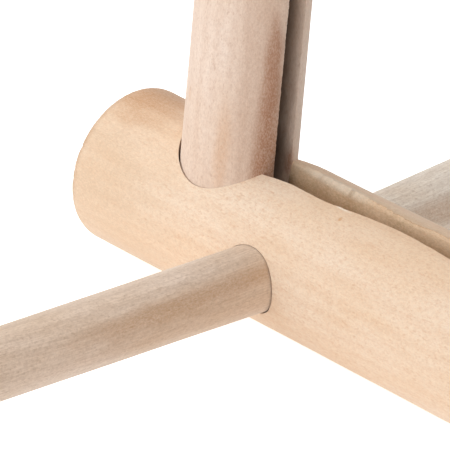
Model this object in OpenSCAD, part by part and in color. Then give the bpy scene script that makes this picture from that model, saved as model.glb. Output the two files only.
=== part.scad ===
// Rigid-heddle table loom made of round beech bars.
// Three crosswise bars are joined by four thin rails. The centre bar carries two slotted
// uprights that guide the heddle, and the front and rear bars carry posts for the rollers.
// X runs along the bars, Y from the weaver to the back, Z up. The origin is on the table.

/* [Bars] */
// Diameter of the three crosswise bars
bar_d = 35; // [34:0.5:38]
// Length of the three crosswise bars
bar_len = 397; // [396:1:420]
// Distance from the centre bar to the front or rear bar, axis to axis
bar_reach = 280; // [240:5:320]
// Radius of the rounded edges at the ends of bars, uprights and posts
end_round = 4; // [2:0.5:5]
// Height of the bars above the table, held by the foot pads
pad_show = 2; // [1:0.5:4]
// Diameter of a foot pad
pad_d = 13.6; // [10:0.2:16]

/* [Uprights] */
// Diameter of the uprights and of the roller posts
upright_d = 25; // [23:0.5:26]
// Distance between the axes of the two uprights
upright_span = 330; // [326:2:334]
// Top of the uprights above the bar axis
upright_top = 230; // [228:2:260]
// Depth of the upright and post sockets below the bar axis
socket_depth = 6; // [2:1:8]

/* [Slots] */
// Width of the slots in the uprights and the centre bar
slot_w = 5.6; // [5.6:0.1:6.4]
// Depth of the slot in an upright
upright_slot_depth = 9; // [8:0.5:9.5]
// Depth of the slot in the centre bar
bar_slot_depth = 10; // [6:0.5:10]

/* [Rails] */
// Diameter of the rails between the bars
rail_d = 15; // [12:0.5:16]
// Distance from an upright axis inwards to the rails
rail_inset = 22.7; // [22.5:0.1:25]
// Distance of the rail axes below the bar axes
rail_drop = 0.9; // [0.6:0.1:1.5]
// Outward splay of each rail, in degrees
rail_splay = 3.2; // [2.5:0.1:3.6]

/* [Heddle] */
// Bottom edge of the resting heddle above the bar axis
heddle_rest = 80; // [76:1:84]
// Height of a heddle lath
lath_h = 12; // [10:1:14]
// Thickness of a heddle lath
lath_t = 10; // [8:0.5:12]
// Thickness of the tongues that slide in the uprights
tongue_t = 5; // [4:0.1:5]
// Clear height between the two laths
dent_clear = 66.3; // [64:0.1:68]
// Number of dents in the heddle
dent_count = 41; // [31:2:41]
// Distance between neighbouring dents
dent_pitch = 6.25; // [5:0.05:6.25]
// Width of a dent
dent_w = 3.6; // [3:0.1:4]
// Thickness of a dent
dent_t = 2; // [1.5:0.1:3]
// Diameter of the eye in each dent
eye_d = 2; // [1:0.1:2.4]

/* [Heddle pegs] */
// Diameter of a peg hole
peg_hole_d = 6; // [5:0.1:6]
// Height of the peg that is in use, above the bar axis
peg_z = 155; // [154:0.5:155]
// Distance between peg holes
peg_step = 25; // [20:1:25]

/* [Rollers] */
// Diameter of the rollers
roller_d = 30; // [26:1:32]
// Height of the roller axis above the bar axis
roller_z = 85; // [80:1:90]
// Distance between the axes of a pair of roller posts
post_span = 266; // [264:1:268]
// Top of the roller posts above the bar axis
post_top = 134; // [132:1:145]
// Diameter of the roller journals
journal_d = 12; // [10:0.5:13]
// Width of the groove for the warp stick
groove_w = 5; // [4:0.1:6]
// Depth of the groove for the warp stick
groove_depth = 6; // [4:0.5:7]

/* [Ratchets] */
// Number of ratchet teeth
teeth = 12; // [12:12:24]
// Radius over the tips of the teeth
tip_r = 22; // [21:0.5:22]
// Radius at the roots of the teeth
root_r = 17.5; // [17:0.5:17.5]
// Thickness of a ratchet wheel
wheel_t = 7; // [5:0.5:7]
// Height of the pawl pivot above the roller axis
pivot_rise = 34; // [34:0.5:35]
// Outer diameter of a hand wheel
knob_d = 40; // [34:1:44]
// Length of a hand wheel
knob_len = 30; // [24:1:30]

/* [Hidden] */
$fn = 96;
eps = 0.01;
glue_gap = 0.05;
run_gap = 0.05;
bar_r = bar_d / 2;
bar_z = bar_r + pad_show;
upright_r = upright_d / 2;
upright_x = upright_span / 2;
rail_r = rail_d / 2;
rail_x = upright_x - rail_inset;
rail_span = bar_reach / cos(rail_splay);
rail_web = 4;
pad_sink = 1.5;
pad_gap = 0.2;
pad_x = bar_len / 2 - 17;
slot_floor = bar_r - bar_slot_depth;
post_round = end_round - 1;
// Heddle and pegs
upright_face = upright_x - upright_r;
tongue_end = upright_face + upright_slot_depth - 0.8;
lath_end = upright_face - 2.5;
top_lath_z = heddle_rest + lath_h + dent_clear;
lath_groove = 5;
dent_len = dent_clear + 2 * lath_groove;
stile_w = 14;
stile_x = lath_end - stile_w - 2;
peg_x = upright_x - 7;
peg_reach = upright_r + 0.6;
peg_head_d = 11;
peg_head_t = 7;
peg_head_edge = 2;
// Rollers
post_x = post_span / 2;
side_gap = 1;
barrel_end = post_x - upright_r - side_gap;
barrel_edge = 2;
journal_r = journal_d / 2;
wheel_x = post_x + upright_r + side_gap;
hub_t = 8;
hub_r = 11;
knob_x = wheel_x + wheel_t + hub_t + 1.5;
journal_in_knob = 14.5;
journal_end = knob_x + journal_in_knob;
journal_tail = 3;
collar_t = 8;
collar_x = wheel_x + collar_t;
pin_d = 3;
pin_len = 2 * hub_r - 0.6;
stick_len = 2 * barrel_end - 9;
stick_gap = 0.1;
stick_sink = 0.8;
// Hand wheels
knob_neck_len = knob_len * 0.25;
knob_neck_d = knob_d * 0.6;
knob_edge = 4;
neck_edge = 1.5;
flute_d = 11;
flute_out = 3;
knob_screw_d = 4;
knob_screw_depth = 12;
knob_screw_tip = 2;
knob_recess = 3;
knob_recess_d = 9.4;
knob_head_d = 8.6;
knob_head_t = 2.4;
driver_slot = 1;
// Ratchets, with angles counted from the top towards the outer side
tooth_pitch = 360 / teeth;
catch_angle = 50;
tooth_gap = 0.4;
heel_gap = 0.6;
toe_rise = 2;
pawl_t = 6;
pawl_x = wheel_x + (wheel_t - pawl_t) / 2;
boss_r = 6.5;
pivot_d = 6;
pawl_screw_d = 4;
pawl_screw_depth = 5;
pawl_screw_gap = 0.1;
pawl_head_gap = 0.3;
pawl_head_d = 11;
pawl_head_t = 3;

beech = [0.90, 0.80, 0.69];
pale_beech = [0.92, 0.83, 0.73];
grey_beech = [0.80, 0.70, 0.60];
nylon = [0.93, 0.92, 0.88];
steel = [0.72, 0.72, 0.74];
brass = [0.80, 0.66, 0.36];
felt = [0.35, 0.33, 0.31];

// ---- Placing ----

// Moves a piece from the bar axis to its height above the table
module on_bars() translate([0, 0, bar_z]) children();

// Keeps a piece on the right, or mirrors it to the left
module side(s) mirror([s < 0 ? 1 : 0, 0, 0]) children();

// Keeps a piece at the rear, or mirrors it to the front
module end(e) mirror([0, e < 0 ? 1 : 0, 0]) children();

// Both sides, and all four corners
module both_sides() for (s = [-1, 1]) side(s) children();
module corners() for (s = [-1, 1], e = [-1, 1]) side(s) end(e) children();

// Lays a Z axis along +X
module along_x() rotate([0, 90, 0]) children();

// Lays a Z axis along +Y
module along_y() rotate([-90, 0, 0]) children();

// Lays a Z axis along the rear right rail, starting level with the centre bar's axis
module along_rail() translate([rail_x, 0, -rail_drop]) rotate([0, 0, -rail_splay]) along_y() children();

// Lays a Z axis along the axis of a rear roller
module at_roller() translate([0, bar_reach, roller_z]) along_x() children();

// Point at radius r and angle b from the top towards the rear, in the plane of a rear ratchet
function polar(r, b) = [r * sin(b), r * cos(b)];

// ---- Shared shapes ----

// Half outline of a round stick from 0 to len, with both ends rounded
module stick_outline(len, d, edge) {
    square([d / 2 - edge, len]);
    translate([0, edge]) square([d / 2, len - 2 * edge]);
    for (y = [edge, len - edge]) translate([d / 2 - edge, y]) circle(edge, $fn = 48);
}

// Round stick standing on its end
module stick(len, d, edge) rotate_extrude() stick_outline(len, d, edge);

// Crosswise bar, centred
module round_bar() along_x() translate([0, 0, -bar_len / 2]) stick(bar_len, bar_d, end_round);

// Socket for an upright or a post, standing on its floor
module post_socket() translate([0, 0, -socket_depth]) cylinder(h = bar_d, r = upright_r + glue_gap);

// Socket for a rail, from distance a to distance b along the rail
module rail_socket(a, b) along_rail() translate([0, 0, a]) cylinder(h = b - a, r = rail_r + glue_gap);

// Rear bar with its sockets for the posts, the rails and the foot pads
module end_bar() difference() {
    translate([0, bar_reach, 0]) round_bar();
    both_sides() {
        translate([post_x, bar_reach, 0]) post_socket();
        rail_socket(rail_span - bar_d, rail_span - rail_web);
        translate([pad_x, bar_reach, -bar_z]) cylinder(h = pad_show + pad_sink, d = pad_d + 2 * pad_gap);
    }
}

// Rear right rail
module rail() along_rail() translate([0, 0, rail_web])
    cylinder(h = rail_span - 2 * rail_web, d = rail_d);

// Right upright, slotted on its inner side
module upright() translate([upright_x, 0, 0]) difference() {
    translate([0, 0, -socket_depth]) stick(upright_top + socket_depth, upright_d, post_round);
    translate([-upright_r - 1, -slot_w / 2, slot_floor])
        cube([upright_slot_depth + 1, slot_w, upright_top]);
    for (i = [0 : 2]) translate([peg_x - upright_x, -upright_r, peg_z - i * peg_step])
        along_y() cylinder(h = upright_d, d = peg_hole_d);
}

// Rear right roller post with its bearing hole
module post() translate([post_x, bar_reach, 0]) difference() {
    translate([0, 0, -socket_depth]) stick(post_top + socket_depth, upright_d, post_round);
    translate([-upright_r - 1, 0, roller_z])
        along_x() cylinder(h = upright_d + 2, r = journal_r + run_gap);
}

// Same post with a hole for the pawl screw
module pawl_post() difference() {
    post();
    translate([post_x - pawl_screw_depth - eps, bar_reach, roller_z + pivot_rise])
        along_x() cylinder(h = upright_d, d = pawl_screw_d + 2 * glue_gap);
}

// Heddle lath with a tongue at each end and a groove for the dents, from z to z + lath_h
module lath(z, groove_z) difference() {
    union() {
        translate([-lath_end, -lath_t / 2, z]) cube([2 * lath_end, lath_t, lath_h]);
        translate([-tongue_end, -tongue_t / 2, z]) cube([2 * tongue_end, tongue_t, lath_h]);
    }
    translate([-stile_x - stile_w, -dent_t / 2 - glue_gap, groove_z])
        cube([2 * (stile_x + stile_w), dent_t + 2 * glue_gap, lath_groove]);
}

// Right stile, with a tenon into the groove of each lath
module stile() {
    translate([stile_x, -lath_t / 2, heddle_rest + lath_h]) cube([stile_w, lath_t, dent_clear]);
    translate([stile_x, -dent_t / 2, heddle_rest + lath_h - lath_groove])
        cube([stile_w, dent_t, dent_len]);
}

// One dent with its eye
module dent() difference() {
    translate([-dent_w / 2, -dent_t / 2, heddle_rest + lath_h - lath_groove])
        cube([dent_w, dent_t, dent_len]);
    translate([0, -dent_t, heddle_rest + lath_h + dent_clear / 2])
        along_y() cylinder(h = 2 * dent_t, d = eye_d, $fn = 24);
}

// Right peg, pushed in from the front
module peg() translate([peg_x, 0, peg_z]) {
    translate([0, -peg_reach, 0]) along_y() cylinder(h = 2 * peg_reach, d = peg_hole_d - 2 * run_gap);
    translate([0, -peg_reach - peg_head_t, 0]) along_y() stick(peg_head_t, peg_head_d, peg_head_edge);
}

// Rear roller with its journals, warp groove, pin holes and screw hole
module roller() difference() {
    at_roller() {
        translate([0, 0, -barrel_end]) stick(2 * barrel_end, roller_d, barrel_edge);
        translate([0, 0, -collar_x - journal_tail])
            cylinder(h = collar_x + journal_tail + journal_end, r = journal_r);
    }
    translate([-barrel_end - 1, bar_reach - groove_w / 2, roller_z + roller_d / 2 - groove_depth])
        cube([2 * barrel_end + 2, groove_w, groove_depth + 1]);
    for (x = pin_places()) translate([x, bar_reach, roller_z - roller_d / 2])
        cylinder(h = roller_d, d = pin_d + 2 * glue_gap);
    translate([journal_end - knob_screw_depth, bar_reach, roller_z])
        along_x() cylinder(h = knob_screw_depth + 1, d = knob_screw_d + 2 * glue_gap);
}

// Places of the cross pins along a roller
function pin_places() = [wheel_x + wheel_t + hub_t / 2, -collar_x + collar_t / 2];

// Cross pins that hold the ratchet and the collar on a rear roller
module pins() for (x = pin_places()) translate([x, bar_reach, roller_z - pin_len / 2])
    cylinder(h = pin_len, d = pin_d);

// Stick that traps the warp ends in the groove
module warp_lath()
    translate([-stick_len / 2, bar_reach - groove_w / 2 + stick_gap, roller_z + roller_d / 2 - groove_depth])
        cube([stick_len, groove_w - 2 * stick_gap, groove_depth - stick_sink]);

// Ratchet wheel with its hub, pinned on a rear roller
module ratchet() difference() {
    translate([wheel_x, bar_reach, roller_z]) {
        rotate([90, 0, 90]) linear_extrude(wheel_t) polygon(tooth_outline());
        translate([wheel_t - eps, 0, 0]) along_x() cylinder(h = hub_t + eps, r = hub_r);
    }
    translate([wheel_x - 1, bar_reach, roller_z])
        along_x() cylinder(h = wheel_t + hub_t + 2, r = journal_r + glue_gap);
    translate([wheel_x + wheel_t + hub_t / 2, bar_reach, roller_z - hub_r - 1])
        cylinder(h = 2 * hub_r + 2, d = pin_d + 2 * glue_gap);
}

// Saw teeth: each rises straight at its catching face and slopes down to the next one
function tooth_outline() =
    [for (i = [0 : teeth - 1], r = [root_r, tip_r]) polar(r, catch_angle + i * tooth_pitch)];

// Shaft collar on the far end of a rear roller
module collar() translate([-collar_x, bar_reach, roller_z]) difference() {
    along_x() cylinder(h = collar_t, r = hub_r);
    translate([-1, 0, 0]) along_x() cylinder(h = collar_t + 2, r = journal_r + glue_gap);
    translate([collar_t / 2, 0, -hub_r - 1]) cylinder(h = 2 * hub_r + 2, d = pin_d + 2 * glue_gap);
}

// Turned hand wheel with eight finger flutes
module knob() translate([knob_x, bar_reach, roller_z]) along_x() difference() {
    union() {
        translate([0, 0, knob_neck_len]) stick(knob_len - knob_neck_len, knob_d, knob_edge);
        stick(2 * knob_neck_len, knob_neck_d, neck_edge);
    }
    for (a = [0 : 45 : 315]) rotate([0, 0, a])
        translate([knob_d / 2 + flute_out, 0, knob_neck_len - 1]) cylinder(h = knob_len, d = flute_d);
    translate([0, 0, -1]) cylinder(h = journal_in_knob + 1, r = journal_r + glue_gap);
    cylinder(h = knob_len + 1, d = knob_screw_d + 2 * glue_gap);
    translate([0, 0, knob_len - knob_recess]) cylinder(h = knob_recess + 1, d = knob_recess_d);
}

// Screw that holds the hand wheel on the journal
module knob_screw() translate([knob_x, bar_reach, roller_z]) along_x() {
    tip_z = journal_in_knob - knob_screw_depth + knob_screw_tip;
    translate([0, 0, tip_z]) cylinder(h = knob_len - knob_recess - tip_z + eps, d = knob_screw_d);
    translate([0, 0, knob_len - knob_recess]) difference() {
        cylinder(h = knob_head_t, d = knob_head_d);
        translate([-knob_head_d, -driver_slot / 2, knob_head_t - driver_slot])
            cube([2 * knob_head_d, driver_slot, 2 * driver_slot]);
    }
}

// Shouldered screw on which a pawl swings
module pawl_screw() translate([0, bar_reach, roller_z + pivot_rise]) {
    shoulder_x = post_x + upright_r + pawl_screw_gap;
    head_x = pawl_x + pawl_t + pawl_head_gap;
    translate([post_x - pawl_screw_depth, 0, 0])
        along_x() cylinder(h = shoulder_x - post_x + pawl_screw_depth + eps, d = pawl_screw_d);
    translate([shoulder_x, 0, 0]) along_x() cylinder(h = head_x - shoulder_x + eps, d = pivot_d);
    translate([head_x, 0, 0]) along_x() difference() {
        cylinder(h = pawl_head_t, d = pawl_head_d);
        translate([-pawl_head_d, -driver_slot / 2, pawl_head_t - driver_slot])
            cube([2 * pawl_head_d, driver_slot, 2 * driver_slot]);
    }
}

// Rear pawl: an arm from the pivot down to the catching face, with a thumb tab
module pawl() translate([pawl_x, bar_reach, roller_z]) difference() {
    union() {
        rotate([90, 0, 90]) linear_extrude(pawl_t) polygon(pawl_outline());
        translate([0, 0, pivot_rise]) along_x() cylinder(h = pawl_t, r = boss_r);
    }
    translate([-1, 0, pivot_rise]) along_x() cylinder(h = pawl_t + 2, d = pivot_d + 2 * run_gap);
}

// The tip stays a small gap off the catching face and off the slope before it
function pawl_outline() =
    let (face = tooth_gap * [-cos(catch_angle), sin(catch_angle)],
         heel = polar(root_r + heel_gap, catch_angle) + face,
         toe = polar(tip_r + toe_rise, catch_angle) + face,
         slope = polar(tip_r, catch_angle - tooth_pitch) - polar(root_r, catch_angle))
    [heel, toe, toe + [6, 1], toe + [8, 4], toe + [1, 6],
     [boss_r - 0.2, pivot_rise + 1], [0, pivot_rise], [3, pivot_rise - boss_r + 0.7],
     heel + slope * 1.1];

// ---- Nodes: frame ----

module centre_bar() color(beech) on_bars() difference() {
    round_bar();
    translate([-upright_x, -slot_w / 2, slot_floor]) cube([upright_span, slot_w, bar_d]);
    both_sides() translate([upright_x, 0, 0]) post_socket();
    corners() rail_socket(rail_web, bar_d);
}
module front_bar() color(beech) on_bars() end(-1) end_bar();
module rear_bar() color(beech) on_bars() end_bar();

module left_upright() color(pale_beech) on_bars() side(-1) upright();
module right_upright() color(pale_beech) on_bars() upright();

module front_left_rail() color(grey_beech) on_bars() side(-1) end(-1) rail();
module front_right_rail() color(grey_beech) on_bars() end(-1) rail();
module rear_left_rail() color(grey_beech) on_bars() side(-1) rail();
module rear_right_rail() color(grey_beech) on_bars() rail();

module front_left_post() color(pale_beech) on_bars() side(-1) end(-1) post();
module front_right_post() color(pale_beech) on_bars() end(-1) pawl_post();
module rear_left_post() color(pale_beech) on_bars() side(-1) post();
module rear_right_post() color(pale_beech) on_bars() pawl_post();

module foot_pads() color(felt) corners() translate([pad_x, bar_reach, 0])
    cylinder(h = pad_show + pad_sink, d = pad_d);
module pawl_screws() color(brass) on_bars() for (e = [-1, 1]) end(e) pawl_screw();

// ---- Nodes: heddle and its pegs ----

module heddle_top_lath() color(beech) on_bars() lath(top_lath_z, top_lath_z);
module heddle_bottom_lath() color(beech) on_bars() lath(heddle_rest, heddle_rest + lath_h - lath_groove);
module heddle_left_stile() color(beech) on_bars() side(-1) stile();
module heddle_right_stile() color(beech) on_bars() stile();
module heddle_dents() color(nylon) on_bars() for (i = [0 : dent_count - 1])
    translate([(i - (dent_count - 1) / 2) * dent_pitch, 0, 0]) dent();
module left_peg() color(pale_beech) on_bars() side(-1) peg();
module right_peg() color(pale_beech) on_bars() peg();

// ---- Nodes: cloth roller at the front ----

module cloth_roller() color(beech) on_bars() end(-1) roller();
module cloth_stick() color(pale_beech) on_bars() end(-1) warp_lath();
module cloth_ratchet() color(steel) on_bars() end(-1) ratchet();
module cloth_knob() color(beech) on_bars() end(-1) knob();
module cloth_knob_screw() color(brass) on_bars() end(-1) knob_screw();
module cloth_collar() color(steel) on_bars() end(-1) collar();
module cloth_pins() color(brass) on_bars() end(-1) pins();
module cloth_pawl() color(steel) on_bars() end(-1) pawl();

// ---- Nodes: warp roller at the rear ----

module warp_roller() color(beech) on_bars() roller();
module warp_stick() color(pale_beech) on_bars() warp_lath();
module warp_ratchet() color(steel) on_bars() ratchet();
module warp_knob() color(beech) on_bars() knob();
module warp_knob_screw() color(brass) on_bars() knob_screw();
module warp_collar() color(steel) on_bars() collar();
module warp_pins() color(brass) on_bars() pins();
module warp_pawl() color(steel) on_bars() pawl();

centre_bar();
front_bar();
rear_bar();
left_upright();
right_upright();
front_left_rail();
front_right_rail();
rear_left_rail();
rear_right_rail();
front_left_post();
front_right_post();
rear_left_post();
rear_right_post();
foot_pads();
pawl_screws();
heddle_top_lath();
heddle_bottom_lath();
heddle_left_stile();
heddle_right_stile();
heddle_dents();
left_peg();
right_peg();
cloth_roller();
cloth_stick();
cloth_ratchet();
cloth_knob();
cloth_knob_screw();
cloth_collar();
cloth_pins();
cloth_pawl();
warp_roller();
warp_stick();
warp_ratchet();
warp_knob();
warp_knob_screw();
warp_collar();
warp_pins();
warp_pawl();
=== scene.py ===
import math

import bmesh
import bpy
from mathutils import Matrix, Vector, noise


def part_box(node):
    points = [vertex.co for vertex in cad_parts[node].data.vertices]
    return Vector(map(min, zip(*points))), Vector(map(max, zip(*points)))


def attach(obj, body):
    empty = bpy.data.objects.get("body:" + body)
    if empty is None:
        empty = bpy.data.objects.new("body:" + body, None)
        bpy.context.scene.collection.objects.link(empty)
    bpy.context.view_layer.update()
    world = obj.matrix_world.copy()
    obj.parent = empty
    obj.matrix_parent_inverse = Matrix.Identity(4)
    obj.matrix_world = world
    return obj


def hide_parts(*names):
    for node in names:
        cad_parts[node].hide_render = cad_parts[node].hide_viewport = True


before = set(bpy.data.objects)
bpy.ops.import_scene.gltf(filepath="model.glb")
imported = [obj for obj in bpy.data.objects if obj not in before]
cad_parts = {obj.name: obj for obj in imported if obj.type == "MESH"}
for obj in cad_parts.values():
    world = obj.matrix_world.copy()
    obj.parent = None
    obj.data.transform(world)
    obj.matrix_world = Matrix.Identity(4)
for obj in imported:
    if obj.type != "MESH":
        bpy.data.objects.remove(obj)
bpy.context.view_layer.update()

MM = 0.001
X, Y, Z = Vector((1, 0, 0)), Vector((0, 1, 0)), Vector((0, 0, 1))
RAILS = ("front_left_rail", "front_right_rail", "rear_left_rail", "rear_right_rail")
POSTS = ("front_left_post", "front_right_post", "rear_left_post", "rear_right_post")


# ---- Places and sizes, from the frame ----

def middle(node):
    lo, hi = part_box(node)
    return (lo + hi) / 2


def size(node):
    lo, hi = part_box(node)
    return hi - lo


def stick_ends(node):
    """Centres of the two ends of a plain round stick that lies roughly along Y."""
    points = [v.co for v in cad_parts[node].data.vertices]
    y_mid = middle(node).y
    ends = []
    for half in ([p for p in points if p.y < y_mid], [p for p in points if p.y > y_mid]):
        corner_lo = Vector([min(p[i] for p in half) for i in range(3)])
        corner_hi = Vector([max(p[i] for p in half) for i in range(3)])
        ends.append((corner_lo + corner_hi) / 2)
    return ends


BAR_R = size("centre_bar").y / 2
BAR_Z = middle("centre_bar").z
BAR_END = size("centre_bar").x / 2
POST_R = size("left_upright").x / 2
RAIL_R = size("front_left_rail").z / 2
JOINT = Vector((middle("left_upright").x, 0, BAR_Z))
ROLLER_Z = middle("cloth_collar").z
PIVOT_Z = middle("pawl_screws").z

# Rounded ends, broken edges, the unevenness that sanding leaves on round wood, and how much thicker
# than in the CAD a rail is.
BAR_EDGE, POST_EDGE, RAIL_EDGE = 3.7 * MM, 3 * MM, 0.4 * MM
CUT_EDGE = 0.16 * MM
BAR_WOBBLE, POST_WOBBLE, RAIL_WOBBLE = 0.09 * MM, 0.07 * MM, 0.05 * MM
RAIL_SWELL = 0.08 * MM

# Slots.
SLOT_HALF = 2.8 * MM
BAR_SLOT_FLOOR = BAR_Z + BAR_R - 10 * MM
POST_SLOT_DEPTH = 9 * MM

# Sockets: the gap round a stick, and how far a rail's socket lies off its rail, towards the middle.
POST_GAP, UPRIGHT_GAP, RAIL_GAP = 0.12 * MM, 0.15 * MM, 0.264 * MM
RAIL_SOCKET_OFF = 0.16 * MM
# How far the cutter of a rail's socket runs past the rail's end, and along the rail, in mm.
SOCKET_LEAD, SOCKET_REACH = 0.5, 30

# Holes, and half the length of a cutter that goes right through a post.
PEG_HOLE_R, BEARING_R, SCREW_HOLE_R = 3.05 * MM, 6.05 * MM, 2.05 * MM
PEG_HOLES, PEG_STEP = 3, 25 * MM
THROUGH = 20 * MM
PAD_R, PAD_SEAT_R, PAD_SEAT_TOP = 6.8 * MM, 7 * MM, 3.5 * MM
PAD_X = abs(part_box("foot_pads")[0].x + PAD_R)

# How far off their drilled places two sticks were glued in.
SET_OFF = {"left_upright": Vector((0.55, -0.55, 0)) * MM,
           "front_left_rail": Vector((-0.6, 0, -0.35)) * MM}


def from_joint(x, y, z):
    """Place given in mm from the left upright's axis, at the height of the centre bar's axis."""
    return JOINT + Vector((x, y, z)) * MM


# ---- Camera ----

def make_camera():
    """Long lens on the left joint, turned and tilted like the photographed view."""
    right = Vector((0.7054, 0.7043, 0.0801)).normalized()
    up = Vector((-0.3703, 0.2698, 0.8889)).normalized()
    back = right.cross(up)
    distance, frame_width = 3.0, 96.0 * MM
    joint_right, joint_up = 1.857, 1.878  # where the joint lies in the picture, mm from its centre
    data = bpy.data.cameras.new("camera")
    data.sensor_width = 36
    data.lens = data.sensor_width * distance / frame_width
    data.clip_start, data.clip_end = 0.1, 40
    camera = bpy.data.objects.new("camera", data)
    bpy.context.scene.collection.objects.link(camera)
    target = JOINT - right * joint_right * MM - up * joint_up * MM
    turn = Matrix((right, up, back)).transposed().to_4x4()
    camera.matrix_world = Matrix.Translation(target + back * distance) @ turn
    bpy.context.scene.camera = camera


# ---- Meshes ----

SMOOTH_ANGLE, BEVEL_ANGLE = math.radians(35), math.radians(40)
RING_STEP, DRILL_STEP = 1.6 * MM, 1.5 * MM
ON_AXIS = 1e-7


def shade(obj):
    obj.data.shade_smooth()
    obj.data.set_sharp_from_angle(angle=SMOOTH_ANGLE)


def new_object(name, bm):
    mesh = bpy.data.meshes.new(name)
    bmesh.ops.recalc_face_normals(bm, faces=bm.faces[:])
    bm.to_mesh(mesh)
    bm.free()
    obj = bpy.data.objects.new(name, mesh)
    bpy.context.scene.collection.objects.link(obj)
    shade(obj)
    return obj


def loft(name, rings):
    """Closed skin through rings of points, with a face at each end."""
    bm = bmesh.new()
    rows = [[bm.verts.new(p) for p in ring] for ring in rings]
    n = len(rows[0])
    for a, b in zip(rows, rows[1:]):
        for i in range(n):
            bm.faces.new((a[i], a[(i + 1) % n], b[(i + 1) % n], b[i]))
    bm.faces.new(rows[0])
    bm.faces.new(rows[-1])
    return new_object(name, bm)


def across(axis):
    """Two directions square to an axis."""
    side = X if abs(axis.x) < 0.9 else Y
    u = (side - axis * side.dot(axis)).normalized()
    return u, axis.cross(u)


def skin_between(bm, a, b):
    """Faces between two rings of a turned piece. A ring of one point is a tip."""
    n = max(len(a), len(b))
    for i in range(n):
        j = (i + 1) % n
        if len(a) == 1:
            bm.faces.new((a[0], b[j], b[i]))
        elif len(b) == 1:
            bm.faces.new((a[i], a[j], b[0]))
        else:
            bm.faces.new((a[i], a[j], b[j], b[i]))


def turned(name, start, axis, profile, segments=96, wobble=0.0, seed=0.0, radius_of=None):
    """Turned piece. profile is (distance along the axis, radius) pairs that start and end on the
    axis. wobble is the unevenness of the round, and radius_of gives the radius by place."""
    u, v = across(axis)
    bm = bmesh.new()
    rows = []
    for t, r in profile:
        centre = start + axis * t
        if r < ON_AXIS:
            rows.append([bm.verts.new(centre)])
            continue
        ring = []
        for i in range(segments):
            a = 2 * math.pi * i / segments
            way = u * math.cos(a) + v * math.sin(a)
            rr = radius_of(t, r, a) if radius_of else r
            if wobble:
                # Broad bumps round the stick and along it, less near the axis.
                bump = noise.noise(way * 1.3 + Vector((t * 45 + seed, seed, -seed)))
                rr += wobble * bump * min(1, r / BAR_R * 2)
            ring.append(bm.verts.new(centre + way * rr))
        rows.append(ring)
    for a, b in zip(rows, rows[1:]):
        skin_between(bm, a, b)
    return new_object(name, bm)


def stick_profile(length, radius, edge):
    """Profile of a round stick with rounded ends."""
    corner = [(edge * (1 - math.cos(a)), radius - edge + edge * math.sin(a))
              for a in (math.radians(d) for d in range(0, 91, 10))]
    count = max(1, round((length - 2 * edge) / RING_STEP))
    body = [(edge + (length - 2 * edge) * i / count, radius) for i in range(1, count)]
    tail = [(length - t, r) for t, r in reversed(corner)]
    flat_r = corner[0][1]
    face = [(0, flat_r * k) for k in (0, 0.35, 0.7)]
    end_face = [(length, flat_r * k) for k in (0.7, 0.35, 0)]
    return face + corner + body + tail + end_face


def rod(name, a, b, radius, edge, **kw):
    axis = (b - a).normalized()
    return turned(name, a, axis, stick_profile((b - a).length, radius, edge), **kw)


def drill(name, a, b, radius, segments=96, wobble=0.0, seed=0.0):
    """Cutter for a round hole from a to b."""
    axis = (b - a).normalized()
    length = (b - a).length
    steps = max(2, round(length / DRILL_STEP))
    profile = [(0, 0)] + [(length * i / steps, radius) for i in range(steps + 1)] + [(length, 0)]
    return turned(name, a, axis, profile, segments, wobble, seed)


def carve(obj, *cutters):
    """Cuts the cutters out of a piece and removes them."""
    for cutter in cutters:
        cut = obj.modifiers.new("cut", "BOOLEAN")
        cut.operation, cut.solver, cut.object = "DIFFERENCE", "EXACT", cutter
        bpy.context.view_layer.update()
        depsgraph = bpy.context.evaluated_depsgraph_get()
        mesh = bpy.data.meshes.new_from_object(obj.evaluated_get(depsgraph))
        obj.modifiers.clear()
        obj.data = mesh
        bpy.data.objects.remove(cutter)
    shade(obj)


def join(obj, other):
    """Adds another closed shape to a piece's mesh."""
    bm = bmesh.new()
    bm.from_mesh(obj.data)
    bm.from_mesh(other.data)
    bpy.data.objects.remove(other)
    bm.to_mesh(obj.data)
    bm.free()
    shade(obj)


def soften(obj, width):
    """Breaks the sharp edges of a piece."""
    edge = obj.modifiers.new("edges", "BEVEL")
    edge.width, edge.segments = width, 2
    edge.limit_method, edge.angle_limit = "ANGLE", BEVEL_ANGLE
    edge.use_clamp_overlap = True


def ripple(t, seed, size_mm, amount):
    """Smooth random offset along a line, of the given grain size and amount."""
    return amount * noise.noise(Vector((t / (size_mm * MM), seed, seed * 0.37)))


# ---- Materials ----

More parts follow.
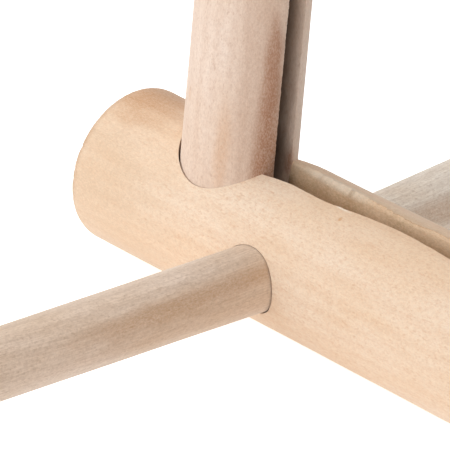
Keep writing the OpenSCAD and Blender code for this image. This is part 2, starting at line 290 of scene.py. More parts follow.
class Graph:
    """Short names for the nodes that a material needs."""

    def __init__(self, tree):
        self.tree = tree

    def feed(self, socket, value):
        if isinstance(value, bpy.types.NodeSocket):
            self.tree.links.new(value, socket)
        else:
            socket.default_value = value

    def set(self, node, **inputs):
        """Feeds sockets by name, with _ for a space, or by index as i0, i1."""
        for key, value in inputs.items():
            by_index = key[0] == "i" and key[1:].isdigit()
            self.feed(node.inputs[int(key[1:]) if by_index else key.replace("_", " ")], value)
        return node

    def add(self, kind, settings=(), **inputs):
        node = self.tree.nodes.new(kind)
        for key, value in dict(settings).items():
            setattr(node, key, value)
        return self.set(node, **inputs)

    def place(self):
        """The row frame's metres, since every piece's object sits at the origin."""
        return self.add("ShaderNodeTexCoord").outputs["Object"]

    def math(self, operation, a, b=0.0):
        return self.add("ShaderNodeMath", {"operation": operation}, i0=a, i1=b).outputs[0]

    def vector(self, operation, a, b=(0, 0, 0)):
        return self.add("ShaderNodeVectorMath", {"operation": operation}, i0=a, i1=b).outputs[0]

    def length(self, a):
        return self.add("ShaderNodeVectorMath", {"operation": "LENGTH"}, i0=a).outputs["Value"]

    def noise(self, vector, scale=1.0, detail=2.0, roughness=0.5, distortion=0.0):
        return self.add("ShaderNodeTexNoise", Vector=vector, Scale=scale, Detail=detail,
                        Roughness=roughness, Distortion=distortion).outputs["Fac"]

    def ramp(self, value, low, high, to_low=0.0, to_high=1.0):
        """Smooth step from to_low at low to to_high at high."""
        node = self.add("ShaderNodeMapRange", {"interpolation_type": "SMOOTHSTEP"})
        for i, v in enumerate((value, low, high, to_low, to_high)):
            self.feed(node.inputs[i], v)
        return node.outputs[0]

    def mix(self, share, a, b, blend="MIX"):
        node = self.add("ShaderNodeMix", {"data_type": "RGBA", "blend_type": blend}, i0=share)
        for i, colour in ((6, a), (7, b)):
            self.feed(node.inputs[i], (*colour, 1) if isinstance(colour, tuple) else colour)
        return node.outputs[2]

    def scaled(self, vector, scale):
        return self.add("ShaderNodeMapping", Vector=vector, Scale=scale).outputs[0]

    def reach(self, place, centre, radii, run=(0, 0, 0)):
        """Distance past the box centre +- run, as a share of the radii. Run and radii are in mm."""
        away = self.vector("ABSOLUTE", self.vector("SUBTRACT", place, tuple(centre)))
        away = self.vector("SUBTRACT", away, tuple(r * MM for r in run))
        away = self.vector("MAXIMUM", away, (0, 0, 0))
        return self.length(self.vector("MULTIPLY", away, tuple(1000 / r for r in radii)))

    def bump(self, height, distance, strength=1.0):
        node = self.add("ShaderNodeBump", Height=height, Distance=distance, Strength=strength)
        return node.outputs[0]


def new_material(name):
    material = bpy.data.materials.new(name)
    material.use_nodes = True
    return material, Graph(material.node_tree), material.node_tree.nodes["Principled BSDF"]


def srgb(r, g, b):
    """Display colour from 0 to 255 as the linear values that a shader takes."""
    return tuple(((c / 255 + 0.055) / 1.055) ** 2.4 if c > 10 else c / 3294.6 for c in (r, g, b))


def along_grain(g, place, grain, origin, seed):
    """Coordinates in mm with the fibres along Z. The fibres wander a little along the stick."""
    turn = grain.rotation_difference(Z).to_euler("XYZ")
    shift = turn.to_matrix() @ (-origin * 1000) + Vector((seed * 7.3, seed * 3.1, seed * 11.7))
    q = g.add("ShaderNodeMapping", Vector=place, Scale=(1000, 1000, 1000), Rotation=turn,
              Location=shift).outputs[0]
    wander = g.add("ShaderNodeTexNoise", Vector=g.scaled(q, (0.05, 0.05, 0.012)), Scale=1.0,
                   Detail=2.0).outputs["Color"]
    return g.vector("ADD", q, g.vector("MULTIPLY", wander, (5.0, 5.0, 0.0)))


def year_rings(g, q):
    """Soft yearly rings round a heart that lies well outside the stick."""
    heart = g.vector("ADD", q, (46.0, 31.0, 0.0))
    radius = g.length(g.vector("MULTIPLY", heart, (1, 1, 0)))
    year = g.math("SINE", g.math("MULTIPLY", radius, 1.9))
    faint = g.noise(g.scaled(q, (0.1, 0.1, 0.02)), 1.0, 3.0)
    return g.math("MULTIPLY", g.ramp(year, -0.7, 1.0), faint)


def mark_edge(g, place, cloud, centre, radii, run, ragged):
    """Distance from a mark's middle as a share of its size, with a ragged edge."""
    return g.math("ADD", g.reach(place, centre, radii, *run),
                  g.math("MULTIPLY", g.math("SUBTRACT", cloud, 0.5), ragged))


def stained_and_shaded(g, colour, place, q, cloud, marks, painted_shade):
    """The colour with its flecked marks, stains and painted shade, and over them the even painted
    shade.
    """
    for centre, radii, mark_colour, strength, *run in marks:
        edge = mark_edge(g, place, cloud, centre, radii, run, 0.7)
        near = g.ramp(edge, 0.25, 1.1, strength, 0.0)
        spots = g.ramp(g.noise(g.scaled(q, (3.2, 3.2, 1.6)), 1.0, 3.0, 0.75), 0.36, 0.64, 0.5, 1.0)
        colour = g.mix(g.math("MULTIPLY", near, spots), colour, mark_colour)
    for centre, radii, mark_colour, strength, *run in painted_shade:
        edge = mark_edge(g, place, cloud, centre, radii, run, 0.25)
        colour = g.mix(g.ramp(edge, 0.3, 1.0, strength, 0.0), colour, mark_colour)
    return colour


def wood_colour(g, q, tones, fleck, rings, fibres, cloud, fibre, small):
    """The colour of clean wood, from its pale, warm and dark tones."""
    pale, warm, dark = tones
    tone = g.noise(g.scaled(q, (0.045, 0.045, 0.018)), 1.0, 3.0, 0.6)
    fuzz = g.noise(g.scaled(q, (1.5, 1.5, 0.9)), 1.0, 3.0, 0.75)
    large = g.ramp(g.noise(g.scaled(q, (0.9, 0.9, 0.5)), 1.0, 2.0, 0.6), 0.61, 0.72)
    colour = g.mix(g.ramp(tone, 0.32, 0.68), pale, warm)
    colour = g.mix(g.math("MULTIPLY", g.ramp(cloud, 0.35, 0.75), 0.25), colour, warm)
    colour = g.mix(g.math("MULTIPLY", year_rings(g, q), 0.55 * rings), colour, dark)
    colour = g.mix(g.math("MULTIPLY", small, 0.42 * fleck), colour, dark)
    colour = g.mix(g.math("MULTIPLY", large, 0.30 * fleck), colour, dark)
    colour = g.mix(g.ramp(fuzz, 0.40, 0.68, 0.0, 0.34 * fleck), colour, dark)
    return g.mix(g.ramp(fibre, 0.3, 0.7, 0.0, fibres), colour, dark)


def wood(name, tones, grain, seed, fleck, rings, origin=Vector(), fibres=0.08, marks=(), painted_shade=()):
    """Bare sanded beech: soft rings, fine fibres, and the short darker flecks of the rays. grain is
    the direction of the fibres. marks are flecked stains and flecked painted shade, and the last
    argument gives even painted shade, each given as (place, size in mm, colour, strength), and
    optionally how far it runs at full strength, in mm."""
    material, g, shader = new_material(name)
    place = g.place()
    q = along_grain(g, place, grain, origin, seed)
    cloud = g.noise(g.scaled(q, (0.28, 0.28, 0.11)), 1.0, 3.0, 0.6)
    fibre = g.noise(g.scaled(q, (3.2, 3.2, 0.10)), 1.0, 3.0, 0.6)
    small = g.ramp(g.noise(g.scaled(q, (2.6, 2.6, 1.0)), 1.0, 1.0, 0.5), 0.60, 0.72)
    colour = wood_colour(g, q, tones, fleck, rings, fibres, cloud, fibre, small)
    colour = stained_and_shaded(g, colour, place, q, cloud, marks, painted_shade)
    grit = g.noise(g.scaled(q, (2.7, 2.7, 1.9)), 1.0, 2.0, 0.75)
    speck = g.ramp(grit, 0.25, 0.75, 0.95, 1.045)
    speck = g.add("ShaderNodeCombineXYZ", i0=speck, i1=speck, i2=speck).outputs[0]
    rough = g.math("ADD", g.math("MULTIPLY", fibre, 0.12), g.math("MULTIPLY", small, -0.10))
    height = g.math("ADD", g.math("MULTIPLY", fibre, 0.6), g.math("MULTIPLY", grit, 0.4))
    height = g.math("SUBTRACT", height, g.math("MULTIPLY", small, 0.35))
    g.set(shader, Base_Color=g.mix(1.0, colour, speck, "MULTIPLY"),
          Roughness=g.math("ADD", rough, 0.60), Specular_IOR_Level=0.32,
          Sheen_Weight=0.22, Sheen_Roughness=0.45, Normal=g.bump(height, 0.06 * MM, 0.8))
    return material


# Colours of wood, each as pale, warm and dark.
BAR_TONES = (srgb(247, 227, 205), srgb(241, 213, 183), srgb(212, 160, 114))
POST_TONES = (srgb(243, 226, 212), srgb(234, 210, 190), srgb(186, 142, 114))
RAIL_TONES = (srgb(244, 227, 212), srgb(231, 208, 185), srgb(160, 124, 92))
# Painted light: a paler copy of the rail tones, for the rear left rail, which the lamps light too
# little.
LIT_RAIL_TONES = (srgb(255, 251, 243), srgb(250, 236, 218), RAIL_TONES[2])
PEG_TONES = (POST_TONES[0], BAR_TONES[1], BAR_TONES[2])
# Stains; the brown one, on the bar's left end, is partly the wood's tone and partly painted shade.
RED_STAIN, ORANGE_STAIN, BROWN_TONE_AND_SHADE = srgb(178, 130, 102), srgb(214, 160, 108), srgb(204, 152, 108)
# Painted shade: a darker tan for the bar's left end, a tan for its rounded end and for the rails'
# sides turned from the light, and a shade for the upright's inner side.
LEFT_END_SHADE, TAN_SHADE, SHADED = srgb(220, 191, 161), srgb(190, 146, 104), srgb(204, 172, 150)
# Painted shade in the slots and at the joint, from light to near black.
BAR_SLOT_SHADE, SLOT_WALL_SHADE, DEEP_SHADE = srgb(188, 160, 122), srgb(128, 94, 66), srgb(58, 36, 18)
TORN_PALE = srgb(255, 247, 234)


def nylon():
    """Moulded heddle dents: off-white, slightly translucent, with faint flow marks."""
    material, g, shader = new_material("nylon")
    place = g.place()
    flow = g.noise(g.scaled(place, (900, 900, 60)), 1.0, 3.0, 0.6)
    haze = g.noise(place, 90.0, 3.0, 0.5)
    colour = g.mix(g.ramp(haze, 0.3, 0.7), srgb(244, 241, 231), srgb(232, 228, 214))
    colour = g.mix(g.ramp(flow, 0.4, 0.8, 0.0, 0.25), colour, srgb(214, 208, 190))
    g.set(shader, Base_Color=colour, Roughness=g.ramp(flow, 0.2, 0.8, 0.34, 0.46),
          Subsurface_Weight=0.12, Subsurface_Radius=(1.0, 0.9, 0.8), Subsurface_Scale=1.0 * MM,
          Normal=g.bump(flow, 0.02 * MM, 0.5))
    return material


def metal(name, bright, dull, roughness, brushing):
    """Brushed metal with fine lines, faint tarnish and tiny scratches."""
    material, g, shader = new_material(name)
    place = g.place()
    lines = g.noise(g.scaled(place, brushing), 1.0, 4.0, 0.65)
    cloud = g.noise(place, 140.0, 4.0, 0.6)
    scratch = g.ramp(g.noise(g.scaled(place, (260, 2600, 900)), 1.0, 2.0, 0.5), 0.64, 0.70)
    colour = g.mix(g.ramp(cloud, 0.35, 0.75), bright, dull)
    colour = g.mix(g.ramp(lines, 0.35, 0.75, 0.0, 0.3), colour, dull)
    rough = g.math("ADD", g.ramp(lines, 0.3, 0.7, roughness - 0.06, roughness + 0.08),
                   g.math("MULTIPLY", scratch, 0.12))
    height = g.math("SUBTRACT", g.math("MULTIPLY", lines, 0.5), g.math("MULTIPLY", scratch, 0.5))
    g.set(shader, Base_Color=colour, Metallic=1.0, Roughness=rough,
          Normal=g.bump(height, 0.02 * MM, 0.6))
    return material


def felt():
    """Pressed felt with loose short fibres."""
    material, g, shader = new_material("felt")
    place = g.place()
    hairs = g.noise(place, 2600.0, 4.0, 0.7, 1.5)
    clumps = g.noise(place, 500.0, 3.0, 0.6)
    colour = g.mix(g.ramp(clumps, 0.3, 0.7), srgb(92, 86, 80), srgb(70, 65, 60))
    colour = g.mix(g.ramp(hairs, 0.5, 0.75, 0.0, 0.5), colour, srgb(132, 124, 116))
    g.set(shader, Base_Color=colour, Roughness=0.95, Sheen_Weight=0.4,
          Normal=g.bump(hairs, 0.2 * MM))
    return material


# ---- Putting a piece in ----

def paint(obj, material):
    obj.data.materials.clear()
    obj.data.materials.append(material)


def put(obj, body, slot, material, *nodes):
    """Gives a piece its material and its body, and hides the CAD nodes it stands for."""
    paint(obj, material)
    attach(obj, body)
    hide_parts(*nodes)


def dress(node, material, edge):
    """Keeps a CAD node's shape, breaks its edges and gives it a material."""
    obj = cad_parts[node]
    paint(obj, material)
    soften(obj, edge)


# ---- The centre bar ----

def table_at(table, d):
    """Straight-line reading of a table of (place, value) pairs, flat beyond its ends."""
    if d <= table[0][0]:
        return table[0][1]
    for (a, va), (b, vb) in zip(table, table[1:]):
        if d <= b:
            return va + (vb - va) * (d - a) / (b - a)
    return table[-1][1]


# Hand work on the centre bar, in mm, by the distance inwards from an upright's axis:
# the rise of its upper back, and the places of the slot's near and far lips.
BACK_RISE = ((-40, 0), (4, 0), (8.8, -0.5), (11.1, -0.05), (15.5, 0.42), (29, 0.58), (53, 1.05),
             (80, 1.1), (165, 0.7))
NEAR_LIP = ((8, -5.9), (13, -5.4), (15, -4.9), (20, -4.3), (28, -4.3), (33, -4.1), (37, -3.4),
            (41, -2.9), (45, -2.5), (50, -2.25), (55, -2.25), (60, -2.5), (66, -2.8))
FAR_LIP = ((10, 3.2), (29, 2.9), (34, 2.4), (48, 2.0), (59, 2.7), (70, 2.8))
# Where the far lip is torn most and how far that reaches, in mm inwards, and the least it is torn.
TEAR_PLACE, TEAR_REACH, TEAR_LEAST = 28, 22, 0.25
# The direction in which the back rises, from +Y to +Z.
BACK_LEAN = math.radians(55)
# Small chips in the edge of the centre bar's ends: how far in they reach, and how deep.
CHIP_REACH, CHIP_DEPTH = 3.5 * MM, 0.45 * MM
# Size of a mark that doesn't end in that direction, in mm.
ALONG = 1e5


def inward(x):
    """Distance in mm from the nearer upright's axis towards the middle."""
    return (abs(JOINT.x) - abs(x)) / MM


def bar_radius(x, r, angle):
    """Round of the centre bar with the rise of its upper back and its chipped ends. The angle runs
    from +Y to +Z."""
    lean = max(0.0, math.cos(angle - BACK_LEAN)) ** 2
    share = min(1, r / BAR_R)
    near_end = max(0.0, 1 - (BAR_END - abs(x)) / CHIP_REACH)
    chip = CHIP_DEPTH * near_end * min(0.0, noise.noise(Vector((angle * 13, x / MM, 5.0))))
    return r + (table_at(BACK_RISE, inward(x)) * MM * lean + chip) * share


def bar_slot_section(x):
    """Outline of the bar slot's cutter at x: up the near wall, over the bar, down the far wall."""
    d = inward(x)
    torn = max(TEAR_LEAST, 1 - abs(d - TEAR_PLACE) / TEAR_REACH)
    near = (table_at(NEAR_LIP, d) * MM + ripple(x, 3.1, 4.1, 0.10 * MM)
            + ripple(x, 8.1, 1.3, 0.05 * MM))
    far = (table_at(FAR_LIP, d) * MM + ripple(x, 8.4, 5.5, 0.25 * MM)
           + ripple(x, 12.4, 1.5, 0.4 * MM) * torn)
    tear = (0.35 + 0.6 * torn + ripple(x, 17.0, 3.2, 1.3 * torn)
            + ripple(x, 19.0, 1.1, 1.2 * torn)) * MM
    tear = max(0.12 * MM, tear)
    hollow = ripple(x, 21.0, 9, 0.25 * MM) + ripple(x, 23.0, 2.5, 0.1 * MM)
    rise = table_at(BACK_RISE, d) * MM
    lip, top = BAR_Z + BAR_R - 0.4 * MM, BAR_Z + BAR_R + 4 * MM
    far_z = lip + 0.75 * rise
    outline = ((-SLOT_HALF, BAR_SLOT_FLOOR),
               (near + 0.5 * MM, lip - 2.5 * MM),
               (near, lip - 0.2 * MM),
               (near - 0.12 * MM, lip + 0.2 * MM),
               (near - 0.12 * MM, top),
               (far + tear * 1.3, top),
               (far + tear * 1.3, far_z + 0.1 * MM),
               (far + 0.4 * tear, far_z - 0.35 * tear),
               (far - 0.1 * MM, far_z - 0.9 * tear - 0.2 * MM),
               (far - 0.4 * MM - hollow, lip - 4 * MM),
               (min(far, SLOT_HALF) - 0.3 * MM, BAR_SLOT_FLOOR))
    return [Vector((x, y, z)) for y, z in outline]


def bar_slot_cutter():
    """Wavy sawn slot along the top of the centre bar, with torn lips."""
    end = abs(JOINT.x) - 2 * MM
    count = round(2 * end / (0.35 * MM))
    places = [-end + 2 * end * i / count for i in range(count + 1)]
    return loft("bar_slot", [bar_slot_section(x) for x in places])


def splinter(name, start, length, width, height):
    """Thin sliver of wood that lifts off a sawn lip."""
    rings = []
    steps = 8
    for i in range(steps + 1):
        s = i / steps
        w = width * math.sin(math.pi * min(1, 0.12 + s * 0.88)) ** 0.7
        lift = height * math.sin(math.pi * s)
        c = start + Vector((length * s, 0.1 * MM * math.sin(5 * s), lift))
        rings.append([c + Vector((0, -w, -0.12 * MM)), c + Vector((0, w, -0.05 * MM)),
                      c + Vector((0, w * 0.3, 0.1 * MM))])
    return loft(name, rings)


def rail_drills(bar_y):
    """Cutters for the rail sockets in the bar at bar_y."""
    cutters = []
    for node in RAILS:
        shift = SET_OFF.get(node, Vector())
        ends = stick_ends(node)
        for here, away in (ends, ends[::-1]):
            if abs(here.y - bar_y) < BAR_R:
                way = (away - here).normalized()
                here = here + shift + X * math.copysign(RAIL_SOCKET_OFF, -here.x)
                cutters.append(drill(f"socket_{node}", here - way * SOCKET_LEAD * MM,
                                     here + way * SOCKET_REACH * MM, RAIL_R + RAIL_GAP,
                                     wobble=0.08 * MM, seed=here.x * 50))
    return cutters


def post_drill(node, gap=POST_GAP, shift=Vector()):
    """Cutter for the socket of an upright or post."""
    base = middle(node) + SET_OFF.get(node, Vector())
    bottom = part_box(node)[0].z - 0.1 * MM
    return drill(f"hole_{node}", Vector((base.x, base.y, bottom)) + shift,
                 Vector((base.x, base.y, BAR_Z + 2 * BAR_R)) + shift, POST_R + gap,
                 segments=128, wobble=0.05 * MM, seed=base.x * 31)


def thick_bar(node, cutters, seed, shape=None):
    lo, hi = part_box(node)
    y = (lo.y + hi.y) / 2
    bar = rod(f"{node}_wood", Vector((lo.x, y, BAR_Z)), Vector((hi.x, y, BAR_Z)), BAR_R, BAR_EDGE,
              segments=144, wobble=BAR_WOBBLE, seed=seed,
              radius_of=shape and (lambda t, r, a: shape(lo.x + t, r, a)))
    carve(bar, *cutters)
    return bar


BAR_STAINS_AND_SHADE = [
    # Two small spots on the front.
    (from_joint(36.5, -6.6, 16.4), (0.55, 1.0, 0.9), ORANGE_STAIN, 0.9),
    (from_joint(62, -13, 10), (1.3, 0.8, 0.8), ORANGE_STAIN, 0.4),
    # The left end: painted shade over the wood outside the upright, its browner top (partly the
    # wood's tone, partly painted shade), and painted shade round its end face.
    (from_joint(-26, -6, 0), (34, 28, 28), LEFT_END_SHADE, 0.85),
    (from_joint(-27, 2, 16), (17, 14, 9), BROWN_TONE_AND_SHADE, 0.85),
    (from_joint(-33.2, 0, 0), (2.9, ALONG, ALONG), TAN_SHADE, 0.85),
    # Round the upright, the sliver, the torn far lip, and painted shade inside the slot.
    (from_joint(-12.6, -3, 13), (2.2, 7, 6), ORANGE_STAIN, 0.35),
    (from_joint(34.7, -4.0, 17), (3.4, 0.5, 0.8), TORN_PALE, 1.0),
    (from_joint(27, 3.5, 16.9), (17, 1.6, 1.3), TORN_PALE, 0.9),
    (Vector((0, 1.5 * MM, BAR_SLOT_FLOOR)), (6, 5.2, 17), BAR_SLOT_SHADE, 0.9, (inward(0) - 6, 0, 0)),
]
# Painted shadow, near black, where the left upright's slot meets the bar.
BAR_SHADE = [(from_joint(11.5, 0, 12), (5.5, 4.2, 7), DEEP_SHADE, 0.95)]


def centre_bar():
    material = wood("beech_centre_bar", BAR_TONES, X, seed=1.7, fleck=0.7, rings=0.35,
                    origin=Vector((0, 0, BAR_Z)), marks=BAR_STAINS_AND_SHADE, painted_shade=BAR_SHADE)
    cutters = [post_drill("left_upright", UPRIGHT_GAP, Vector((-0.4, -0.05, 0)) * MM),
               post_drill("right_upright", UPRIGHT_GAP, Vector((0.2, 0, 0)) * MM),
               *rail_drills(0), bar_slot_cutter()]
    bar = thick_bar("centre_bar", cutters, seed=4.2, shape=bar_radius)
    join(bar, splinter("sliver", from_joint(31.8, -4.0, BAR_R / MM - 0.55), length=5.5 * MM,
                       width=0.13 * MM, height=0.38 * MM))
    soften(bar, CUT_EDGE)
    put(bar, "frame", "beech_bar", material, "centre_bar")


# ---- Uprights and posts ----

# The slot's lower part wanders to the rear: fully below this height over the bar's axis, then less.
WANDER_BELOW, WANDER_FADE = 58 * MM, 14 * MM
# How far below an upright's top the painted shade in its slot starts to fade, in mm.
UNSHADED_TOP = 5

LEFT_UPRIGHT_STAINS_AND_SHADE = [
    # Painted shade on the inner side, then the red streak beside the slot.
    (from_joint(10.6, -8.0, 38), (7, 6.5, 62), SHADED, 0.6),
    (from_joint(12.2, -4.8, 20), (3.6, 4.0, 34), RED_STAIN, 1.0),
    (from_joint(12.0, -5.0, 43), (2.4, 2.6, 16), RED_STAIN, 0.8),
    # A faint streak on the front, the foot of the slot's far wall, and a small spot.
    (from_joint(5.8, -11.9, 22), (2.6, 2.0, 14), ORANGE_STAIN, 0.36),
    (from_joint(12.2, 2.4, 17), (2.2, 1.8, 5), RED_STAIN, 0.8),
    (from_joint(-5.0, -12.0, 31), (1.0, 1.2, 2.4), ORANGE_STAIN, 0.35),
]


def vertical_stick(node, segments, seed):
    """Plain round upright or post, in its CAD place."""
    lo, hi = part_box(node)
    base = middle(node)
    return rod(f"{node}_wood", Vector((base.x, base.y, lo.z)), Vector((base.x, base.y, hi.z)),
               POST_R, POST_EDGE, segments=segments, wobble=POST_WOBBLE, seed=seed)


def upright_slot_cutter(node, way):
    """Sawn slot down the inner side of an upright. Its lips are a little ragged."""
    base = middle(node)
    low, high = BAR_SLOT_FLOOR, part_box(node)[1].z + 5 * MM
    reach = math.sqrt(POST_R ** 2 - SLOT_HALF ** 2)
    floor_x, outside_x = POST_R - POST_SLOT_DEPTH, POST_R + 2 * MM
    rings = []
    count = round((high - low) / (0.4 * MM))
    for i in range(count + 1):
        z = low + (high - low) * i / count
        down = 1 - min(1, max(0, (z - BAR_Z - WANDER_BELOW) / WANDER_FADE))
        near = (-SLOT_HALF + 0.7 * MM * down + ripple(z, 5.5, 2.2, 0.04 * MM)
                + ripple(z, 7.7, 0.6, 0.16 * MM))
        far = SLOT_HALF + 0.55 * MM * down + ripple(z, 2.5, 6, 0.12 * MM)
        ring = ((floor_x, near), (reach - 0.25 * MM, near),
                (reach + 0.15 * MM, near - 0.12 * MM), (outside_x, near - 0.12 * MM),
                (outside_x, far + 0.2 * MM), (reach + 0.1 * MM, far + 0.2 * MM),
                (reach - 0.35 * MM, far), (floor_x, far - 0.1 * MM))
        rings.append([Vector((base.x + way * x, base.y + y, z)) for x, y in ring])
    return loft(f"slot_{node}", rings)


def upright(node, way, peg_node, seed, marks):
    """Slotted upright with its peg holes. way is 1 or -1, the direction of the loom's middle."""
    shift = SET_OFF.get(node, Vector())
    base = middle(node)
    piece = vertical_stick(node, segments=128, seed=seed)
    cutters = [upright_slot_cutter(node, way)]
    peg = middle(peg_node)
    for i in range(PEG_HOLES):
        z = peg.z - i * PEG_STEP
        cutters.append(drill(f"peg_hole_{i}", Vector((peg.x, -THROUGH, z)),
                             Vector((peg.x, THROUGH, z)), PEG_HOLE_R, segments=48))
    carve(piece, *cutters)
    piece.data.transform(Matrix.Translation(shift))
    slot_floor = base + shift + Vector((way * (POST_R - POST_SLOT_DEPTH), 0, 0))
    foot = Vector((slot_floor.x, slot_floor.y, BAR_Z + BAR_R))
    run = (0, 0, size(node).z / 2 / MM - UNSHADED_TOP)
    # Painted shade down the slot, darkest at its floor, and near black at its foot on the bar.
    painted_shade = [(slot_floor, (11.5, 8, 4), SLOT_WALL_SHADE, 0.85, run),
             (slot_floor, (10.5, 6.2, 4), DEEP_SHADE, 1.0, run),
             (foot, (11, 6.5, 14), DEEP_SHADE, 1.0)]
    material = wood(f"beech_{node}", POST_TONES, Z, seed, fleck=0.6, rings=0.28,
                    origin=Vector((base.x, base.y, 0)), marks=marks, painted_shade=painted_shade)
    put(piece, "frame", "beech_upright", material, node)


def uprights():
    upright("left_upright", 1, "left_peg", seed=2.3, marks=LEFT_UPRIGHT_STAINS_AND_SHADE)
    upright("right_upright", -1, "right_peg", seed=6.1, marks=[])


def posts():
    """Short posts for the rollers. Those on the right also take a pawl's screw."""
    for i, node in enumerate(POSTS):
        base = middle(node)
        piece = vertical_stick(node, segments=112, seed=5.0 + i)
        cutters = [drill("bearing", Vector((base.x - THROUGH, base.y, ROLLER_Z)),
                         Vector((base.x + THROUGH, base.y, ROLLER_Z)), BEARING_R, segments=64)]
        if base.x > 0:
            cutters.append(drill("screw_hole", Vector((base.x - 5 * MM, base.y, PIVOT_Z)),
                                 Vector((base.x + THROUGH, base.y, PIVOT_Z)), SCREW_HOLE_R,
                                 segments=32))
        carve(piece, *cutters)
        material = wood(f"beech_{node}", POST_TONES, Z, seed=8.1 + 1.9 * i, fleck=0.5, rings=0.45,
                        origin=Vector((base.x, base.y, 0)))
        put(piece, "frame", "beech_upright", material, node)


# ---- Rails and end bars ----

# Painted shade: darker streaks along the sides of two rails that are turned from the light, as
# place off the axis in mm, and strength. The next line gives how far from the rail's inner end
# their middle lies, in mm, and their size.
SHADE_STREAKS = {"front_left_rail": ((Vector((6.3, 0, 3.9)), 0.62), (Vector((7.3, 0, -1.2)), 0.3)),
           "rear_left_rail": ((Vector((6.9, 0, 3.0)), 0.5),)}
SHADE_STREAK_PLACE, SHADE_STREAK_SIZE = 35, (3.6, 70, 3.6)


def rails():
    for i, node in enumerate(RAILS):
        a, b = (end + SET_OFF.get(node, Vector()) for end in stick_ends(node))
        inner = min((a, b), key=lambda end: abs(end.y))
        shade_streaks_at = inner + (middle(node) - inner).normalized() * SHADE_STREAK_PLACE * MM
        marks = [(shade_streaks_at + off * MM, SHADE_STREAK_SIZE, TAN_SHADE, strength)
                 for off, strength in SHADE_STREAKS.get(node, ())]
        # The rear left rail takes the paler tones, as painted light.
        tones = LIT_RAIL_TONES if node == "rear_left_rail" else RAIL_TONES
        material = wood(f"beech_{node}", tones, (b - a).normalized(), seed=3.7 + 2.9 * i, fleck=0.6,
                        rings=0.3, origin=a, fibres=0.22, marks=marks)
        piece = rod(f"{node}_wood", a, b, RAIL_R + RAIL_SWELL, RAIL_EDGE, wobble=RAIL_WOBBLE,
                    seed=i * 3.3)
        put(piece, "frame", "beech_rail", material, node)


def end_bars():
    for node, its_posts, seed in (("front_bar", POSTS[:2], 9.2), ("rear_bar", POSTS[2:], 12.6)):
        y = middle(node).y
        pads = [drill("pad_seat", Vector((side * PAD_X, y, -1 * MM)),
                      Vector((side * PAD_X, y, PAD_SEAT_TOP)), PAD_SEAT_R, segments=48)
                for side in (-1, 1)]
        material = wood(f"beech_{node}", BAR_TONES, X, seed, fleck=0.55, rings=0.4,
                        origin=Vector((0, y, BAR_Z)))
        bar = thick_bar(node, [*(post_drill(p) for p in its_posts), *rail_drills(y), *pads], seed)
        soften(bar, CUT_EDGE)
        put(bar, "frame", "beech_bar", material, node)


# ---- Heddle, rollers and small parts ----

def heddle():
    lath_wood = wood("beech_lath", BAR_TONES, X, seed=14.4, fleck=0.5, rings=0.7)
    stile_wood = wood("beech_stile", BAR_TONES, Z, seed=15.9, fleck=0.5, rings=0.7)
    for node in ("heddle_top_lath", "heddle_bottom_lath"):
        dress(node, lath_wood, 0.6 * MM)
    for node in ("heddle_left_stile", "heddle_right_stile"):
        dress(node, stile_wood, 0.5 * MM)
    dress("heddle_dents", nylon(), 0.25 * MM)


def small_parts():
    steel = metal("steel", srgb(196, 197, 200), srgb(150, 151, 155), 0.34, (3000, 250, 250))
    brass = metal("brass", srgb(222, 186, 112), srgb(178, 138, 74), 0.3, (400, 2600, 2600))
    peg_wood = wood("beech_peg", PEG_TONES, Y, seed=17.3, fleck=0.5, rings=0.5)
    stick_wood = wood("beech_stick", PEG_TONES, X, seed=18.8, fleck=0.5, rings=0.5)
    turned_wood = wood("beech_roller", BAR_TONES, X, seed=20.2, fleck=0.55, rings=0.6)
    for node in ("left_peg", "right_peg"):
        dress(node, peg_wood, 0.3 * MM)
    for name in ("cloth", "warp"):
        dress(f"{name}_roller", turned_wood, 0.4 * MM)
        dress(f"{name}_knob", turned_wood, 0.5 * MM)
        dress(f"{name}_stick", stick_wood, 0.4 * MM)
        for part in ("ratchet", "collar", "pawl"):
            dress(f"{name}_{part}", steel, 0.3 * MM)
        for part in ("knob_screw", "pins"):
            dress(f"{name}_{part}", brass, 0.2 * MM)
    dress("pawl_screws", brass, 0.25 * MM)
    dress("foot_pads", felt(), 0.5 * MM)


# ---- Floor and light ----

# Studio light: bright on the front left and above, dark on the far right. The sky is darkest up to
# SKY_FROM and brightest from SKY_TO, which are cosines from the bright side.
BRIGHT_SIDE = Vector((-0.42, -0.80, 0.42)).normalized()
SKY_FROM, SKY_TO = -0.55, 0.5
SKY_BRIGHT, SKY_DARK = 0.93, 0.04
# The floor's glow on the loom, and how much more of it the camera sees, so that it comes out white.
FLOOR_SIZE, FLOOR_GLOW, FLOOR_SEEN = 30, 0.28, 0.45
LIGHT_DISTANCE = 1.6


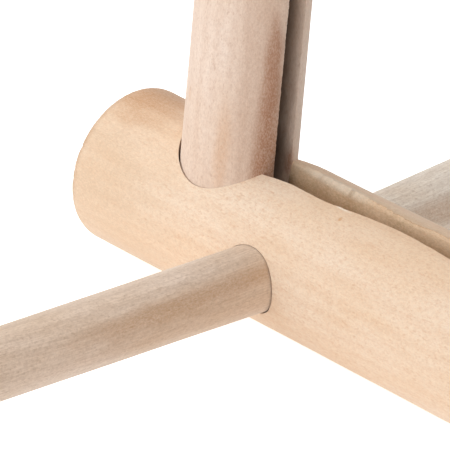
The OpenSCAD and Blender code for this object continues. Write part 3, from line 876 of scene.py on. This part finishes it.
def light_path(g):
    """1 where the camera looks straight at a surface, 0 for light on its way."""
    return g.add("ShaderNodeLightPath").outputs["Is Camera Ray"]


def floor():
    bpy.ops.mesh.primitive_plane_add(size=FLOOR_SIZE, location=(0, 0, 0))
    plane = bpy.context.object
    plane.name = "floor"
    material, g, shader = new_material("floor")
    glow = g.math("ADD", g.math("MULTIPLY", light_path(g), FLOOR_SEEN), FLOOR_GLOW)
    g.set(shader, Base_Color=(0.88, 0.88, 0.88, 1), Roughness=0.9, Specular_IOR_Level=0.1,
          Emission_Color=(1, 1, 1, 1), Emission_Strength=glow)
    plane.data.materials.append(material)


def area_light(name, towards, width, power):
    """Soft light in the direction towards, seen from the left joint, aimed at it."""
    data = bpy.data.lights.new(name, "AREA")
    data.shape, data.size, data.energy = "SQUARE", width, power
    light = bpy.data.objects.new(name, data)
    bpy.context.scene.collection.objects.link(light)
    way = Vector(towards).normalized()
    light.location = JOINT + way * LIGHT_DISTANCE
    light.rotation_euler = (-way).to_track_quat("-Z", "Y").to_euler()
    light.visible_camera = False


def lights():
    """Sky that is white to the camera and brighter on one side to the loom, and two soft lights."""
    world = bpy.data.worlds.new("world")
    bpy.context.scene.world = world
    world.use_nodes = True
    g = Graph(world.node_tree)
    way = g.add("ShaderNodeTexCoord").outputs["Generated"]
    share = g.add("ShaderNodeVectorMath", {"operation": "DOT_PRODUCT"}, i0=way,
                  i1=tuple(BRIGHT_SIDE)).outputs["Value"]
    sky = g.ramp(share, SKY_FROM, SKY_TO, SKY_DARK, SKY_BRIGHT)
    seen = light_path(g)
    sky = g.math("ADD", g.math("MULTIPLY", sky, g.math("SUBTRACT", 1.0, seen)), seen)
    g.set(world.node_tree.nodes["Background"], Color=(1, 1, 1, 1), Strength=sky)
    area_light("key", (-0.35, -0.90, 0.28), width=1.2, power=5)
    area_light("top", (-0.18, 0.15, 0.95), width=1.0, power=5.4)


# ---- Assembly ----

make_camera()
centre_bar()
uprights()
rails()
end_bars()
posts()
heddle()
small_parts()
floor()
lights()
bpy.context.scene.view_settings.view_transform = "Standard"
